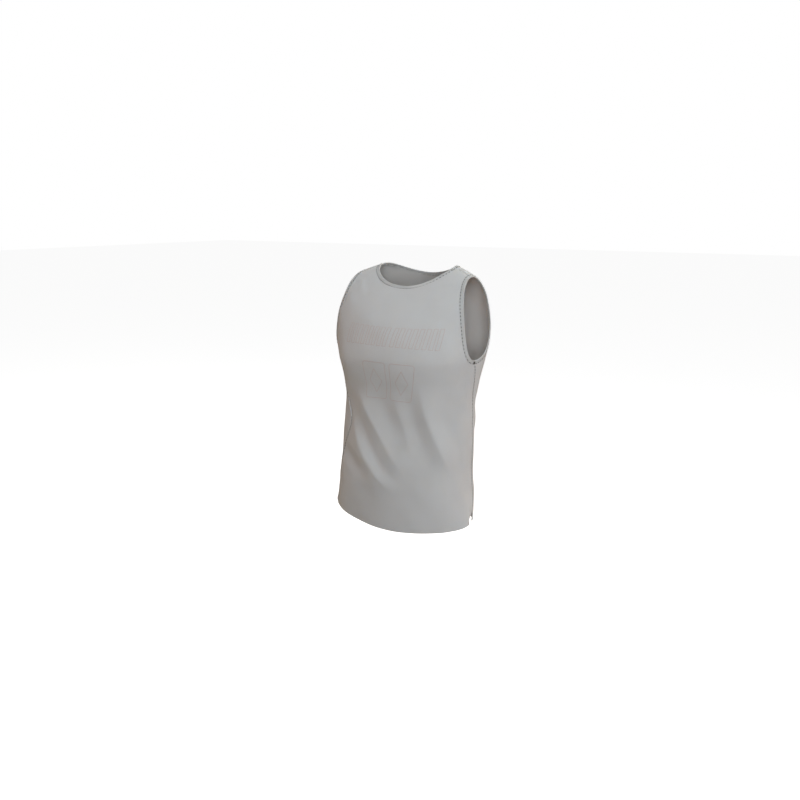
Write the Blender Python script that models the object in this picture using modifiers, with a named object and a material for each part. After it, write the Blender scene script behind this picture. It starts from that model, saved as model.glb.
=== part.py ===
"""Basketball jersey, in the hollow shape that it has when it is worn.

Metres, +Z up. The origin lies between the two neck points, the highest points of the shoulder seams,
where the wearer holds the jersey up. +X is the wearer's left and -Y is the front.

The jersey is drawn as a maker drafts it: one smooth form stands for the worn cloth, and the front and the
back are pieces of that form, cut along a neckline, two armholes, two side seams and two shoulder seams.
A place on the cloth is an angle round the body (0 at the front, +90 at the wearer's left, 180 at the back)
and a level, which is how far up the cloth it lies from the hem.
"""

from collections import namedtuple

import bmesh
import bpy
import numpy as np
from mathutils.bvhtree import BVHTree

# ---------------------------------------------------------------- sizes of the cloth
WALL = 0.0012                 # knit fabric, with the loft of its loops
SEAM_GAP = 0.0006             # between two panels that are sewn together
BINDING_WIDTH = 0.010         # how far a binding reaches in from the edge that it covers
BINDING_WALL = 0.0010
BINDING_GAP = 0.0006          # between a binding and the panel inside it

# ---------------------------------------------------------------- the worn form
SHOULDER_LEVEL = 0.740        # level of the shoulder seams
GIRTH_RADIUS = 0.190          # turns an angle into a distance round the cloth

# One closed section of the form for each level. Sway moves it to the wearer's left, and roundness is 2 for
# an ellipse and more for a squarer outline.
Section = namedtuple("Section", "level half_width front_y back_y side_y front_z back_z side_z roundness sway")
SECTIONS = [
    Section(0.000, 0.220, -0.157, 0.086, -0.062, -0.717, -0.703, -0.686, 1.8, -0.011),
    Section(0.080, 0.205, -0.158, 0.082, -0.044, -0.625, -0.622, -0.620, 2.3, -0.010),
    Section(0.160, 0.198, -0.154, 0.078, -0.044, -0.541, -0.540, -0.540, 2.3, -0.008),
    Section(0.250, 0.197, -0.140, 0.073, -0.044, -0.450, -0.450, -0.450, 2.3, -0.004),
    Section(0.340, 0.194, -0.141, 0.074, -0.044, -0.360, -0.360, -0.360, 2.3, 0.000),
    Section(0.425, 0.208, -0.156, 0.081, -0.044, -0.275, -0.275, -0.275, 2.3, 0.004),
    Section(0.510, 0.224, -0.153, 0.084, -0.028, -0.190, -0.190, -0.195, 2.3, 0.000),
    Section(0.620, 0.217, -0.119, 0.085, -0.033, -0.106, -0.068, -0.067, 2.2, 0.000),
    # the line of the shoulder seams: a section pressed flat
    Section(SHOULDER_LEVEL, 0.208, 0.017, 0.017, -0.076, 0.006, 0.006, -0.078, 2.0, 0.000),
]

# ---------------------------------------------------------------- the cut
# Angles of the cut are measured from the middle of the front or of the back.
NECK_ANGLE = 32.9             # of the neck points
NECK_FOOT = {"front": 0.664, "back": 0.656}        # level of the neckline's lowest point
SHOULDER_ANGLE = 56.0         # of the outer ends of the shoulder seams
ARMPIT_ANGLE = 73.0           # from the front
ARMPIT_LEVEL = 0.467
ARMHOLE_CURVE = {"front": 2.1, "back": 1.4}        # above 1, a tighter bend at the armhole's foot
ARMHOLE_FULLNESS = {"front": 0.0, "back": 4.5}     # degrees by which its sides stand out

# The side seams lean, because the cloth is twisted a little on the body, most of all at the waist. Their
# angles are measured from the front, +90 at the wearer's left.
Seam = namedtuple("Seam", "level left_angle right_angle")
SIDE_SEAMS = [
    Seam(0.000, 101.0, -70.0),
    Seam(0.050, 101.0, -68.0),
    Seam(0.120, 100.0, -62.0),
    Seam(0.200, 99.0, -50.0),
    Seam(0.260, 97.0, -41.0),
    Seam(0.330, 94.0, -52.0),
    Seam(0.400, 86.0, -66.0),
    Seam(ARMPIT_LEVEL, ARMPIT_ANGLE, -ARMPIT_ANGLE),
]

VENT_HEIGHT = 0.042           # open slit at the foot of each side seam
VENT_SPREAD = {"front": 0.008, "back": 0.003}      # how far its edges stand off the seam at the hem

# ---------------------------------------------------------------- folds
# A fold runs from place 1 to place 2, and bow moves the middle of its line sideways. Its flanks run out at
# the distances below and above its line. Height is below 0 for a trough, tip is the radius of its top, and
# taper is the share of its run over which it rises from nothing.
Fold = namedtuple("Fold", "angle_1 level_1 angle_2 level_2 bow below above height tip taper")
FOLDS = [
    # ridges across the belly, from the wearer's right down to the left
    Fold(-40.0, 0.288, 15.0, 0.084, -0.020, 0.050, 0.028, 0.011, 0.004, 0.35),
    Fold(-34.0, 0.385, 21.0, 0.139, -0.009, 0.044, 0.048, 0.012, 0.004, 0.28),
    Fold(3.0, 0.370, 24.0, 0.186, 0.000, 0.036, 0.036, 0.007, 0.004, 0.35),
    Fold(25.0, 0.413, 65.0, 0.136, -0.021, 0.040, 0.050, 0.013, 0.004, 0.35),
    # the trough below them
    Fold(-62.0, 0.195, -4.0, 0.125, -0.004, 0.022, 0.022, -0.006, 0.010, 0.35),
    # the chest, and the hollow below its left side
    Fold(-68.0, 0.445, 74.0, 0.470, -0.004, 0.060, 0.110, 0.016, 0.022, 0.25),
    Fold(24.0, 0.440, 82.0, 0.405, 0.000, 0.040, 0.040, -0.005, 0.012, 0.35),
    # the same twist behind, from the wearer's left down to the right
    Fold(112.0, 0.350, 160.0, 0.145, -0.008, 0.036, 0.034, 0.008, 0.006, 0.35),
    Fold(142.0, 0.370, 192.0, 0.165, 0.003, 0.036, 0.036, 0.007, 0.006, 0.30),
    Fold(176.0, 0.345, 216.0, 0.200, 0.002, 0.030, 0.032, 0.005, 0.006, 0.35),
    Fold(200.0, 0.385, 242.0, 0.180, -0.006, 0.040, 0.040, 0.008, 0.006, 0.35),
    Fold(128.0, 0.195, 174.0, 0.115, -0.004, 0.024, 0.024, -0.004, 0.012, 0.35),
]
FOLD_FOOT = 0.35              # share of a fold's reach over which its foot runs out

# ---------------------------------------------------------------- mesh
# Rows of each zone of a panel, from the hem up. A zone ends at a place on the panel's inner line (0 to 1 up
# the middle of the panel, 1 to 2 along the neckline) and one on its outer line (0 to 1 up the side seam,
# 1 to 2 along the armhole). An ease above 1 sets the zone's first rows closer than its last.
Zone = namedtuple("Zone", "rows inner outer ease")
ZONES = [
    Zone(5, 0.18, 0.25, 1.0),      # hem
    Zone(16, 0.50, 0.74, 1.0),     # folds
    Zone(4, 0.59, 1.00, 1.0),      # up to the armpits
    Zone(9, 1.00, 1.45, 1.3),     # chest, up to the foot of the neckline
    Zone(6, 1.45, 1.66, 1.4),      # shoulder straps
    Zone(9, 2.00, 2.00, 0.9),      # the bend over the shoulders
]
COLUMNS = {"front": 17, "back": 12}                # from the middle of a panel to its side
FOLDED_ROWS = 21              # rows that lie below the chest
COLUMN_SPREAD = 0.30          # share by which the columns stand closer at the middle
ANGLE_STEP = 0.2              # degrees, for measuring slopes
LEVEL_STEP = 0.001
WELD_DISTANCE = 1e-6          # joins the two halves of a panel along its middle

CLOTH_COLOUR = (0.50, 0.50, 0.49, 1.0)
CLOTH_ROUGHNESS = 0.85


def spline_weights(knots, places):
    """Weights that turn the values at the knots into a natural cubic spline's values at the places."""
    knots = np.asarray(knots, dtype=float)
    count = len(knots)
    step = np.diff(knots)
    bend = np.zeros((count, count))
    load = np.zeros((count, count))
    bend[0, 0] = bend[-1, -1] = 1.0
    for i in range(1, count - 1):
        bend[i, i - 1:i + 2] = step[i - 1], 2 * (step[i - 1] + step[i]), step[i]
        load[i, i - 1:i + 2] = 6 / step[i - 1], -6 / step[i - 1] - 6 / step[i], 6 / step[i]
    curvature = np.linalg.solve(bend, load)
    left = np.clip(np.searchsorted(knots, places) - 1, 0, count - 2)
    rows = np.arange(len(places))
    a = (knots[left + 1] - places) / step[left]
    b = (places - knots[left]) / step[left]
    weights = np.zeros((len(places), count))
    weights[rows, left] += a
    weights[rows, left + 1] += b
    square = (step[left] ** 2 / 6)[:, None]
    weights += ((a ** 3 - a)[:, None] * curvature[left] + (b ** 3 - b)[:, None] * curvature[left + 1]) * square
    return weights


def section_points(section, angle):
    """Points of one section at the given angles, in radians."""
    across, ahead = np.sin(angle), np.cos(angle)
    power = section.roundness
    reach = (np.abs(across) ** power + np.abs(ahead) ** power) ** (-1 / power)
    x = section.half_width * reach * across + section.sway
    depth = reach * ahead
    in_front = depth >= 0
    y = section.side_y + np.abs(depth) * (np.where(in_front, section.front_y, section.back_y) - section.side_y)
    z = section.side_z + np.abs(depth) * (np.where(in_front, section.front_z, section.back_z) - section.side_z)
    return np.stack([x, y, z], axis=-1)


def form(angle, level):
    """Points of the smooth form. Each line of one angle runs up the front, over the shoulder line and down
    the back, as one spline through the sections."""
    angle = np.radians(np.asarray(angle, dtype=float))
    shape = angle.shape
    angle = angle.ravel()
    level = np.asarray(level, dtype=float).ravel()
    behind = np.cos(angle) < 0
    over = np.where(behind, 2 * SHOULDER_LEVEL - level, level)
    from_front = np.where(behind, np.copysign(np.pi, np.sin(angle)) - angle, angle)
    levels = [section.level for section in SECTIONS]
    knots = levels + [2 * SHOULDER_LEVEL - value for value in levels[-2::-1]]
    weights = spline_weights(knots, over)
    points = np.zeros((len(angle), 3))
    for column, section in enumerate(SECTIONS):
        points += weights[:, column, None] * section_points(section, from_front)
    for column, section in enumerate(SECTIONS[-2::-1], start=len(SECTIONS)):
        points += weights[:, column, None] * section_points(section, np.pi - from_front)
    return points.reshape(shape + (3,))


def smooth_step(share):
    """0 below 0, 1 above 1 and a soft rise between."""
    share = np.clip(share, 0.0, 1.0)
    return share * share * (3 - 2 * share)


def fold_profile(aside, fold):
    """The height of a fold across its line: straight flanks, a rounded top and soft feet."""
    reach = np.where(aside < 0, fold.below, fold.above)
    rise = 1 - (np.hypot(aside, fold.tip) - fold.tip) / reach
    foot = (rise + FOLD_FOOT) ** 2 / (4 * FOLD_FOOT)
    return fold.height * np.where(rise > FOLD_FOOT, rise, np.where(rise > -FOLD_FOOT, foot, 0.0))


def relief(angle, level):
    """How far the folds lift the cloth off the smooth form."""
    lift = np.zeros(np.shape(angle))
    for fold in FOLDS:
        run_around = np.radians(fold.angle_2 - fold.angle_1) * GIRTH_RADIUS
        run_up = fold.level_2 - fold.level_1
        length = np.hypot(run_around, run_up)
        turn = (angle - fold.angle_1 + 180.0) % 360.0 - 180.0
        around = np.radians(turn) * GIRTH_RADIUS
        up = level - fold.level_1
        share = (around * run_around + up * run_up) / length ** 2
        aside = (around * -run_up + up * run_around) / length
        aside = aside - fold.bow * 4 * share * (1 - share)
        ends = smooth_step(share / fold.taper) * smooth_step((1 - share) / fold.taper)
        lift += fold_profile(aside, fold) * ends
    return lift


def slopes(surface, angle, level):
    """How a surface's points move for each degree round the body, and for each metre of level."""
    around = surface(angle + ANGLE_STEP, level) - surface(angle - ANGLE_STEP, level)
    up = surface(angle, level + LEVEL_STEP) - surface(angle, level - LEVEL_STEP)
    return around / (2 * ANGLE_STEP), up / (2 * LEVEL_STEP)


def unit(vectors):
    return vectors / np.linalg.norm(vectors, axis=-1, keepdims=True)


def normals(surface, angle, level):
    around, up = slopes(surface, angle, level)
    return unit(np.cross(around, up))


def cloth(angle, level):
    """Points of the outside of the cloth: the smooth form with its folds."""
    return form(angle, level) + relief(angle, level)[..., None] * normals(form, angle, level)


def step_on_cloth(angle, level, direction, distance):
    """The place that lies a distance away over the cloth, in a direction along it."""
    around, up = slopes(cloth, angle, level)
    around_around = np.sum(around * around, axis=-1)
    around_up = np.sum(around * up, axis=-1)
    up_up = np.sum(up * up, axis=-1)
    by_around = np.sum(direction * around, axis=-1)
    by_up = np.sum(direction * up, axis=-1)
    area = around_around * up_up - around_up ** 2
    new_angle = angle + distance * (by_around * up_up - by_up * around_up) / area
    new_level = level + distance * (by_up * around_around - by_around * around_up) / area
    return new_angle, new_level


def body_angle(panel, side, away):
    """Angle round the body of a place so many degrees away from a panel's middle. Side is 1 for the
    wearer's left and -1 for the right."""
    return side * (away if panel == "front" else 180.0 - away)


def seam_away(panel, side, level):
    """Degrees from a panel's middle to its side seam."""
    levels = [seam.level for seam in SIDE_SEAMS]
    angles = np.array([seam.left_angle if side > 0 else -seam.right_angle for seam in SIDE_SEAMS])
    from_front = spline_weights(levels, level) @ angles
    return from_front if panel == "front" else 180.0 - from_front


def trim(panel, side, away, level, distance):
    """Degrees that a distance takes up round the body."""
    around, _ = slopes(form, body_angle(panel, side, away), level)
    return distance / np.linalg.norm(around, axis=-1)


def inner_line(panel, share):
    """Up the middle of a panel for shares 0 to 1, then along half the neckline for 1 to 2."""
    foot = NECK_FOOT[panel]
    turn = np.clip(share - 1, 0, 1) * np.pi / 2
    away = NECK_ANGLE * np.sin(turn)
    level = np.where(share <= 1, foot * share, foot + (SHOULDER_LEVEL - foot) * (1 - np.cos(turn)))
    return away, level


def outer_line(panel, side, share):
    """Up a side seam for shares 0 to 1, then along the armhole for 1 to 2."""
    turn = np.clip(share - 1, 0, 1) * np.pi / 2
    up_seam = ARMPIT_LEVEL * np.minimum(share, 1)
    level = up_seam + (SHOULDER_LEVEL - ARMPIT_LEVEL) * (1 - np.cos(turn))
    armpit = seam_away(panel, side, np.array([ARMPIT_LEVEL]))
    curve = (1 - np.sin(turn)) ** ARMHOLE_CURVE[panel]
    armhole = SHOULDER_ANGLE + (armpit - SHOULDER_ANGLE) * curve
    armhole += ARMHOLE_FULLNESS[panel] * np.sin(np.pi * np.sin(turn))
    away = np.where(share <= 1, seam_away(panel, side, up_seam), armhole)
    return away, level


def cut_outer_line(panel, side, share):
    """The outer line with half the seam's gap and the vent taken off."""
    away, level = outer_line(panel, side, share)
    vent = VENT_SPREAD[panel] * smooth_step(1 - level / VENT_HEIGHT)
    at_seam = share <= 1
    return away - np.where(at_seam, trim(panel, side, away, level, SEAM_GAP / 2 + vent), 0.0), level


def row_shares():
    """Shares of the inner and the outer line where the rows of a panel start and end."""
    inner, outer = [0.0], [0.0]
    for zone in ZONES:
        share = (np.arange(1, zone.rows + 1) / zone.rows) ** zone.ease
        inner.extend(inner[-1] + (zone.inner - inner[-1]) * share)
        outer.extend(outer[-1] + (zone.outer - outer[-1]) * share)
    return np.array(inner), np.array(outer)


def half_panel(panel, side):
    """Places of one half of a panel, as angles and levels: rows from the hem up, columns from its middle to
    its side."""
    inner_shares, outer_shares = row_shares()
    inner_away, inner_level = inner_line(panel, inner_shares)
    outer_away, outer_level = cut_outer_line(panel, side, outer_shares)
    column = np.linspace(0, 1, COLUMNS[panel] + 1)
    column = column * (1 - COLUMN_SPREAD + COLUMN_SPREAD * column)
    away = inner_away[:, None] + (outer_away - inner_away)[:, None] * column
    level = inner_level[:, None] + (outer_level - inner_level)[:, None] * column
    _, up = slopes(form, body_angle(panel, side, away[-1]), level[-1])
    level[-1] -= SEAM_GAP / 2 / np.linalg.norm(up, axis=-1)
    return body_angle(panel, side, away), level


def knit_material(name):
    material = bpy.data.materials.new(name)
    material.use_nodes = True
    shader = material.node_tree.nodes["Principled BSDF"]
    shader.inputs["Base Color"].default_value = CLOTH_COLOUR
    shader.inputs["Roughness"].default_value = CLOTH_ROUGHNESS
    shader.inputs["Metallic"].default_value = 0.0
    return material


def cloth_object(name, mesh, collection):
    """Adds the finished bmesh to the scene as a named piece with its own material."""
    data = bpy.data.meshes.new(name)
    mesh.to_mesh(data)
    mesh.free()
    data.shade_smooth()
    piece = bpy.data.objects.new(name, data)
    piece.data.materials.append(knit_material(name + "_knit"))
    collection.objects.link(piece)
    return piece


def panel_sheet(panel):
    """The front or the back as an open sheet of triangles, with its outside facing out."""
    mesh = bmesh.new()
    folded, plain = [], []
    for side in (1, -1):
        points = cloth(*half_panel(panel, side))
        grid = [[mesh.verts.new(point) for point in row] for row in points]
        outward = (side > 0) == (panel == "front")
        for row, (low, high) in enumerate(zip(grid, grid[1:])):
            faces = folded if row < FOLDED_ROWS else plain
            for i in range(len(low) - 1):
                corners = (low[i], low[i + 1], high[i + 1], high[i])
                faces.append(mesh.faces.new(corners if outward else corners[::-1]))
    # diagonals that run with the folds keep the ridges smooth
    bmesh.ops.triangulate(mesh, faces=folded, quad_method="ALTERNATE")
    bmesh.ops.triangulate(mesh, faces=plain)
    bmesh.ops.remove_doubles(mesh, verts=mesh.verts, dist=WELD_DISTANCE)
    return mesh


def make_panel(name, sheet, collection):
    """A cut panel, whose wall goes inwards from its sheet."""
    piece = cloth_object(name, sheet, collection)
    wall = piece.modifiers.new("wall", "SOLIDIFY")
    wall.thickness = WALL
    wall.offset = -1.0
    wall.use_even_offset = True
    return piece


def lay_on(sheets, points):
    """The nearest points of the panels' sheets."""
    found = [min((sheet.find_nearest(point) for sheet in sheets), key=lambda hit: hit[3]) for point in points]
    return np.array([hit[0] for hit in found])


def neck_edge():
    """Places round the neck, over the wearer's right shoulder point to the left and back behind."""
    inner_shares, _ = row_shares()
    shares = inner_shares[inner_shares >= 1]
    angles, levels = [], []
    for panel, side in (("front", -1), ("front", 1), ("back", 1), ("back", -1)):
        away, level = inner_line(panel, shares)
        order = slice(None) if (panel == "front") == (side > 0) else slice(None, None, -1)
        angles.extend(body_angle(panel, side, away)[order][:-1])
        levels.extend(level[order][:-1])
    return np.array(angles), np.array(levels)


def armhole_edge(side):
    """Places round an armhole: down the front and up the back on the wearer's left, and the other way
    round on the right."""
    _, outer_shares = row_shares()
    shares = outer_shares[outer_shares >= 1]
    angles, levels = [], []
    for panel in ("front", "back"):
        away, level = outer_line(panel, side, shares)
        order = slice(None, None, -1) if panel == "front" else slice(None)
        angles.extend(body_angle(panel, side, away)[order][:-1])
        levels.extend(level[order][:-1])
    order = slice(None) if side > 0 else slice(None, None, -1)
    return np.array(angles)[order], np.array(levels)[order]


def make_binding(name, angle, level, sheets, collection):
    """A strip folded round a closed edge, with a leg on each side of the panels."""
    edge = cloth(angle, level)
    run = unit(np.roll(edge, -1, axis=0) - np.roll(edge, 1, axis=0))
    out = normals(cloth, angle, level)
    inward = np.cross(run, out)
    foot_place = step_on_cloth(angle, level, inward, BINDING_WIDTH)
    foot = lay_on(sheets, cloth(*foot_place))
    foot_out = normals(cloth, *foot_place)
    above = BINDING_GAP + BINDING_WALL
    outline = [
        # the outside of the strip, from its outer leg over the edge to its inner leg
        foot + foot_out * above,
        edge + out * above,
        edge - inward * above,
        edge - inward * above - out * WALL,
        edge - out * (WALL + above),
        foot - foot_out * (WALL + above),
        # and back along its inside
        foot - foot_out * (WALL + BINDING_GAP),
        edge - inward * BINDING_GAP - out * (WALL + BINDING_GAP),
        edge - inward * BINDING_GAP + out * BINDING_GAP,
        foot + foot_out * BINDING_GAP,
    ]
    mesh = bmesh.new()
    rings = [[mesh.verts.new(line[station]) for line in outline] for station in range(len(angle))]
    for ring, following in zip(rings, rings[1:] + rings[:1]):
        for i in range(len(ring)):
            j = (i + 1) % len(ring)
            mesh.faces.new((ring[i], following[i], following[j], ring[j]))
    bmesh.ops.recalc_face_normals(mesh, faces=mesh.faces)
    bmesh.ops.triangulate(mesh, faces=mesh.faces)
    return cloth_object(name, mesh, collection)


def main():
    for thing in list(bpy.data.objects):
        bpy.data.objects.remove(thing, do_unlink=True)
    jersey = bpy.data.collections.new("basketball_jersey")
    bpy.context.scene.collection.children.link(jersey)
    sheets = {panel: panel_sheet(panel) for panel in COLUMNS}
    trees = [BVHTree.FromBMesh(sheet) for sheet in sheets.values()]
    for panel, sheet in sheets.items():
        make_panel(panel, sheet, jersey)
    make_binding("neck_binding", *neck_edge(), trees, jersey)
    make_binding("armhole_binding_left", *armhole_edge(1), trees, jersey)
    make_binding("armhole_binding_right", *armhole_edge(-1), trees, jersey)


if __name__ == "__main__":
    main()
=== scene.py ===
# %% [markdown]
# # A basketball jersey, in the form that it has when it is worn
#
# The real garment is light: two panels of grey polyester knit, sewn together at the shoulders and the sides,
# and a folded strip of the same knit round the neck and round each armhole. This lesson dresses a packed
# model of it in Blender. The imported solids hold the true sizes, and a thin cloth shell of the same form
# stands in for each of them here, with finer creases, real seams, stitches and a knitted finish.

# %% Load the frame
from collections import namedtuple

import bmesh
import bpy
import math
import numpy as np
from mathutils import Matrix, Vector


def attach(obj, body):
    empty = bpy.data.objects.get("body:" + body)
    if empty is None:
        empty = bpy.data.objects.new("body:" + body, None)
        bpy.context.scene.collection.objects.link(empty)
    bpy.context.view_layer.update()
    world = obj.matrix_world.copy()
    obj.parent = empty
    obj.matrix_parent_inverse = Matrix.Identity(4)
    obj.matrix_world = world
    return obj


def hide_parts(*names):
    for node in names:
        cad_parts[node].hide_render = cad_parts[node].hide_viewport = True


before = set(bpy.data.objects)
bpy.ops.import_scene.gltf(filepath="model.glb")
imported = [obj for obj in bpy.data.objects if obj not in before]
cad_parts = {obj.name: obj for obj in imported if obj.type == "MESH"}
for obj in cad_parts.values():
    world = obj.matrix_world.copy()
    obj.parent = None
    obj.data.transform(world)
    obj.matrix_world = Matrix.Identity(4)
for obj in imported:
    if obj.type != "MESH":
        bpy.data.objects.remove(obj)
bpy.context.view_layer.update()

# %% [markdown]
# ## Camera
#
# A garment is pictured from far enough away that its hem and its shoulders keep their proportions. The
# camera looks at the middle of the jersey from the front left of the wearer, a little from above. Its place
# is worked out from two angles and a distance, so that each can be changed by itself. The lamps are placed
# and aimed in the same way, so one function serves both.

# %% Camera
CAMERA_AZIMUTH = math.radians(32.1)
CAMERA_ELEVATION = math.radians(13.7)
CAMERA_DISTANCE = 2.206
CAMERA_TARGET = Vector((-0.0390, -0.0244, -0.3820))
LENS_MM = 35.26
SENSOR_MM = 36.0


def direction(azimuth, elevation):
    """The way from the jersey to a place round it. Azimuth 0 is straight in front."""
    level = math.cos(elevation)
    return Vector((math.sin(azimuth) * level, -math.cos(azimuth) * level, math.sin(elevation)))


def link_object(name, data):
    """An object in the scene that holds the data."""
    thing = bpy.data.objects.new(name, data)
    bpy.context.scene.collection.objects.link(thing)
    return thing


def aim(thing, centre, towards, distance):
    """Moves a camera or a lamp to a distance from a place, and points it there."""
    thing.location = centre + towards * distance
    thing.rotation_euler = (-towards).to_track_quat("-Z", "Y").to_euler()


def make_camera():
    data = bpy.data.cameras.new("studio_camera")
    data.lens = LENS_MM
    data.sensor_width = SENSOR_MM
    camera = link_object("studio_camera", data)
    aim(camera, CAMERA_TARGET, direction(CAMERA_AZIMUTH, CAMERA_ELEVATION), CAMERA_DISTANCE)
    bpy.context.scene.camera = camera
    return camera


print("camera at", [round(x, 3) for x in make_camera().location])

# %% [markdown]
# ## Helpers for materials
#
# Colours are written as the hex values that a colour picker shows, which are sRGB. Cycles works in linear
# light, so one function turns them over. Every material is a chain of nodes, so a second function adds a
# node, sets its inputs and links it in one line, and the shader at the chain's end is filled in the same way.

# %% Colour and node helpers


def linear(hex_colour, alpha=1.0):
    """An sRGB hex colour as linear red, green, blue and alpha."""
    channels = []
    for start in (1, 3, 5):
        value = int(hex_colour[start:start + 2], 16) / 255
        channels.append(value / 12.92 if value <= 0.04045 else ((value + 0.055) / 1.055) ** 2.4)
    return (*channels, alpha)


def fill(tree, node, inputs):
    """Fills sockets, by name or number, with values or links. A node stands for its first output."""
    for name, value in inputs.items():
        if isinstance(value, bpy.types.Node):
            value = value.outputs[0]
        if isinstance(value, bpy.types.NodeSocket):
            tree.links.new(value, node.inputs[name])
        else:
            node.inputs[name].default_value = value


def add_node(tree, kind, *inputs, **settings):
    """Adds a node. Its inputs come in the order of its sockets, or as one dictionary by name or number."""
    node = tree.nodes.new("ShaderNode" + kind)
    for name, value in settings.items():
        setattr(node, name, value)
    by_name = inputs and isinstance(inputs[0], dict)
    fill(tree, node, inputs[0] if by_name else dict(enumerate(inputs)))
    return node


def new_material(name):
    """An empty node material, and the tree and shader to build it on."""
    material = bpy.data.materials.new(name)
    material.use_nodes = True
    return material, material.node_tree, material.node_tree.nodes["Principled BSDF"]


print("light grey in linear light:", [round(x, 3) for x in linear("#c4c6c7")])

# %% [markdown]
# ## Studio
#
# A white cyclorama would throw its own light back at the jersey and wash out the folds, so the floor here is
# only seen by the camera, and lets light through. The light comes from large soft boxes. A neutral one in
# front, on the wearer's left, draws the folds, and one overhead lights the shoulders. Two warm ones behind
# rim the straps and the left side, and shine in at the armhole. Two weak ones from below, and a faint warm
# one on the wearer's right, keep the shaded side open. The world is white to the camera and almost black to
# the cloth.

# %% Studio floor, world and lights
FLOOR_DROP = 1.50             # a standing wearer's shoulders are this far above the floor
FLOOR_SIZE = 60.0
LIGHT_DISTANCE = 3.0
LIGHT_CENTRE = Vector((0.0, -0.03, -0.36))
SOFT_BOX_SIZE = 1.8

SoftBox = namedtuple("SoftBox", "name azimuth elevation watts colour")
SOFT_BOXES = [
    SoftBox("front_key", 36, 15, 68.0, (0.99, 1.00, 1.00)),
    SoftBox("overhead", 0, 80, 34.0, (0.92, 1.01, 1.06)),
    SoftBox("back_high", 180, 45, 34.0, (1.10, 1.02, 0.88)),
    SoftBox("rim_left", 144, 15, 39.0, (1.10, 1.00, 0.90)),
    SoftBox("low_left", 90, -40, 22.0, (1.09, 0.97, 0.94)),
    SoftBox("low_right", 270, -40, 19.0, (1.06, 1.04, 0.90)),
    SoftBox("warm_right", 288, 15, 6.0, (2.10, 0.80, 0.10)),
]
DIM_WORLD = (0.008, 0.008, 0.007, 1.0)


def mesh_object(name, points, faces, material):
    """An object from points and faces, with one material."""
    data = bpy.data.meshes.new(name)
    data.from_pydata(points, [], faces)
    data.materials.append(material)
    return link_object(name, data)


def make_floor():
    material, tree, shader = new_material("white_paper_floor")
    white = linear("#ffffff")
    fill(tree, shader, {"Base Color": white, "Emission Color": white})
    fill(tree, shader, {"Roughness": 0.9, "Emission Strength": 0.95})
    half = FLOOR_SIZE / 2
    corners = [(x, y, -FLOOR_DROP) for x, y in ((-half, -half), (half, -half), (half, half), (-half, half))]
    floor = mesh_object("studio_floor", corners, [(0, 1, 2, 3)], material)
    floor.visible_diffuse = False
    floor.visible_glossy = False
    floor.visible_shadow = False
    return floor


def make_world():
    world = bpy.data.worlds.new("white_studio")
    world.use_nodes = True
    tree = world.node_tree
    tree.nodes.clear()
    seen = add_node(tree, "LightPath")
    dim = add_node(tree, "Background", {"Color": DIM_WORLD, "Strength": 1.0})
    white = add_node(tree, "Background", {"Color": linear("#ffffff"), "Strength": 1.0})
    by_ray = add_node(tree, "MixShader", seen.outputs["Is Camera Ray"], dim, white)
    add_node(tree, "OutputWorld", {"Surface": by_ray})
    bpy.context.scene.world = world


def make_soft_box(box):
    data = bpy.data.lights.new(box.name, "AREA")
    data.shape = "SQUARE"
    data.size = SOFT_BOX_SIZE
    data.energy = box.watts
    data.color = box.colour
    towards = direction(math.radians(box.azimuth), math.radians(box.elevation))
    aim(link_object(box.name, data), LIGHT_CENTRE, towards, LIGHT_DISTANCE)


make_floor()
make_world()
for box in SOFT_BOXES:
    make_soft_box(box)
bpy.context.scene.view_settings.view_transform = "Standard"
print("studio:", len(SOFT_BOXES), "soft boxes")

# %% [markdown]
# ## The worn form
#
# A worn jersey is neither flat nor a cylinder: it lies flat over the shoulders, stands out at the chest and
# falls in at the waist. The form is drawn with a few closed sections, one for each level up the cloth, and a
# natural spline joins them over the shoulder line and down the back. A place on the cloth is an angle round
# the body (0 at the front, +90 at the wearer's left) and a level, the distance up the cloth from the hem.
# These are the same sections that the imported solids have, so that each shell lies on its solid.

# %% Sections of the form
SHOULDER_LEVEL = 0.740
GIRTH_RADIUS = 0.190          # turns an angle into a distance round the cloth

Section = namedtuple("Section", "level half_width front_y back_y side_y front_z back_z side_z roundness sway")
SECTIONS = [
    Section(0.000, 0.220, -0.157, 0.086, -0.062, -0.717, -0.703, -0.686, 1.8, -0.011),
    Section(0.080, 0.205, -0.158, 0.082, -0.044, -0.625, -0.622, -0.620, 2.3, -0.010),
    Section(0.160, 0.198, -0.154, 0.078, -0.044, -0.541, -0.540, -0.540, 2.3, -0.008),
    Section(0.250, 0.197, -0.140, 0.073, -0.044, -0.450, -0.450, -0.450, 2.3, -0.004),
    Section(0.340, 0.194, -0.141, 0.074, -0.044, -0.360, -0.360, -0.360, 2.3, 0.000),
    Section(0.425, 0.208, -0.156, 0.081, -0.044, -0.275, -0.275, -0.275, 2.3, 0.004),
    Section(0.510, 0.224, -0.153, 0.084, -0.028, -0.190, -0.190, -0.195, 2.3, 0.000),
    Section(0.620, 0.217, -0.119, 0.085, -0.033, -0.106, -0.068, -0.067, 2.2, 0.000),
    # the line of the shoulder seams: a section pressed flat
    Section(SHOULDER_LEVEL, 0.208, 0.017, 0.017, -0.076, 0.006, 0.006, -0.078, 2.0, 0.000),
]


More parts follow.
